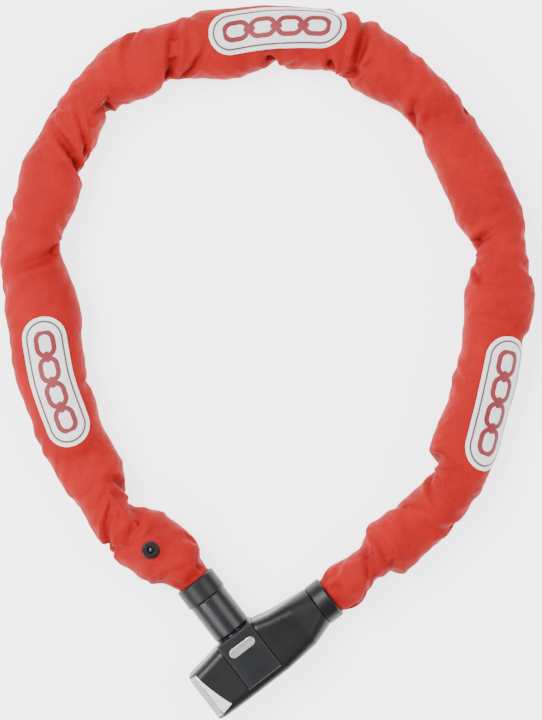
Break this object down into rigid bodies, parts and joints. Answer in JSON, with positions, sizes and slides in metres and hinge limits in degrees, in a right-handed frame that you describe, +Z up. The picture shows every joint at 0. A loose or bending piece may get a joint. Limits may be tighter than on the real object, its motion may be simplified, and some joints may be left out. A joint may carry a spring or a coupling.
{
  "type": "chain lock",
  "caption": "Bicycle chain lock: square-bar links in a fabric sleeve, closed by a plug that a keyed cylinder bolts into the lock body.",
  "frame": {"origin": "on the lock body's flat underside, below the point where the bolt's axis crosses the cylinder's axis", "axes": "+X along the lock body from its key end to its tail, +Y the way the chain plug pulls out, +Z up from the surface it lies on"},
  "size_m": [0.2618, 0.2771, 0.0257],
  "materials": {
    "cover_plastic": "satin, finely grained",
    "saddle_plastic": "satin",
    "core_zinc": "as cast",
    "hard_steel": "ground, lightly oiled",
    "chain_steel": "zinc plated",
    "cap_metal": "satin",
    "badge_metal": "satin, with a plain inset rim",
    "brass": "machined",
    "seal_rubber": "matt",
    "screw_steel": "blackened",
    "plug_plastic": "satin",
    "sleeve_fabric": "woven nylon, matt",
    "rivet_black": "blackened"
  },
  "bodies": {
    "lock_body": {"body_core": "core_zinc", "upper_cover": "cover_plastic", "lower_cover": "cover_plastic", "end_cap": "cap_metal", "cover_pivot": "screw_steel", "port_saddle": "saddle_plastic", "port_bush": "hard_steel", "badge": "badge_metal", "case_screw_1": "screw_steel", "case_screw_2": "screw_steel", "case_screw_3": "screw_steel", "cylinder_housing": "brass", "housing_pin": "hard_steel", "anchor": "hard_steel", "anchor_pin": "hard_steel", "tail_collar": "plug_plastic", "chain_sleeve": "sleeve_fabric"},
    "cylinder": {"cylinder_plug": "brass", "plug_ring": "hard_steel", "drive_crank": "hard_steel"},
    "wafers": {"wafer_1": "brass", "wafer_2": "brass", "wafer_3": "brass", "wafer_4": "brass"},
    "keyway_cover": {"keyway_cover": "cover_plastic"},
    "slider": {"lock_slider": "hard_steel"},
    "chain_run_1": {"link_26": "chain_steel", "link_25": "chain_steel", "link_24": "chain_steel"},
    "chain_run_2": {"link_23": "chain_steel", "link_22": "chain_steel", "link_21": "chain_steel", "link_20": "chain_steel"},
    "chain_run_3": {"link_19": "chain_steel", "link_18": "chain_steel", "link_17": "chain_steel", "link_16": "chain_steel"},
    "chain_run_4": {"link_15": "chain_steel", "link_14": "chain_steel", "link_13": "chain_steel", "link_12": "chain_steel"},
    "chain_run_5": {"link_11": "chain_steel", "link_10": "chain_steel", "link_09": "chain_steel", "link_08": "chain_steel"},
    "chain_run_6": {"link_07": "chain_steel", "link_06": "chain_steel", "link_05": "chain_steel", "link_04": "chain_steel"},
    "chain_run_7": {"link_03": "chain_steel", "link_02": "chain_steel", "link_01": "chain_steel", "sleeve_rivet": "rivet_black"},
    "chain_plug": {"bolt": "hard_steel", "plug_cover": "plug_plastic", "plug_pin": "hard_steel", "plug_seal": "seal_rubber", "plug_collar": "plug_plastic"}
  },
  "joints": [
    {"name": "hinge_1", "type": "hinge", "parent": "lock_body", "child": "chain_run_1", "pos_m": [0.0534, 0.0016, 0.0121], "axis": [0, 0, 1], "range_deg": [0, 18.13], "deforming": ["chain_sleeve"]},
    {"name": "hinge_2", "type": "hinge", "parent": "chain_run_1", "child": "chain_run_2", "pos_m": [0.13528, 0.01594, 0.0121], "axis": [0, 0, 1], "range_deg": [-7.71, 0]},
    {"name": "hinge_3", "type": "hinge", "parent": "chain_run_2", "child": "chain_run_3", "pos_m": [0.20708, 0.08696, 0.0121], "axis": [0, 0, 1], "range_deg": [-17.31, 0]},
    {"name": "hinge_4", "type": "hinge", "parent": "chain_run_3", "child": "chain_run_4", "pos_m": [0.21087, 0.18619, 0.0121], "axis": [0, 0, 1], "range_deg": [-8.43, 0]},
    {"name": "hinge_5", "type": "hinge", "parent": "chain_run_4", "child": "chain_run_5", "pos_m": [0.13231, 0.24716, 0.0121], "axis": [0, 0, 1], "range_deg": [0, 2.24]},
    {"name": "hinge_6", "type": "hinge", "parent": "chain_run_5", "child": "chain_run_6", "pos_m": [0.03927, 0.21768, 0.0121], "axis": [0, 0, 1], "range_deg": [0, 8.68]},
    {"name": "hinge_7", "type": "hinge", "parent": "chain_run_6", "child": "chain_run_7", "pos_m": [-0.00455, 0.12686, 0.0121], "axis": [0, 0, 1], "range_deg": [0, 6.95]},
    {"name": "hinge_8", "type": "hinge", "parent": "chain_run_7", "child": "chain_plug", "pos_m": [0, 0.0605, 0.0121], "axis": [0, 0, 1], "range_deg": [-2.54, 0]},
    {"name": "cylinder_turn", "type": "hinge", "parent": "lock_body", "child": "cylinder", "pos_m": [-0.02, 0, 0.0121], "axis": [1, 0, 0], "range_deg": [0, 90]},
    {"name": "slider_shift", "type": "slide", "parent": "lock_body", "child": "slider", "axis": [0, 0, 1], "range_m": [0, 0.00424]},
    {"name": "wafer_travel", "type": "slide", "parent": "cylinder", "child": "wafers", "axis": [0, 0, -1], "range_m": [0, 0.0009]},
    {"name": "keyway_cover_swing", "type": "hinge", "parent": "lock_body", "child": "keyway_cover", "pos_m": [-0.0277, 0.0068, 0.0121], "axis": [1, 0, 0], "range_deg": [0, 70]}
  ],
  "couplings": [
    {"joint": "hinge_2", "follows": "hinge_1", "ratio": -0.42502},
    {"joint": "hinge_3", "follows": "hinge_1", "ratio": -0.95476},
    {"joint": "hinge_4", "follows": "hinge_1", "ratio": -0.46444},
    {"joint": "hinge_5", "follows": "hinge_1", "ratio": 0.12303},
    {"joint": "hinge_6", "follows": "hinge_1", "ratio": 0.47833},
    {"joint": "hinge_7", "follows": "hinge_1", "ratio": 0.38287},
    {"joint": "hinge_8", "follows": "hinge_1", "ratio": -0.14001},
    {"joint": "slider_shift", "follows": "cylinder_turn", "m_per_rad": 0.0027009}
  ]
}
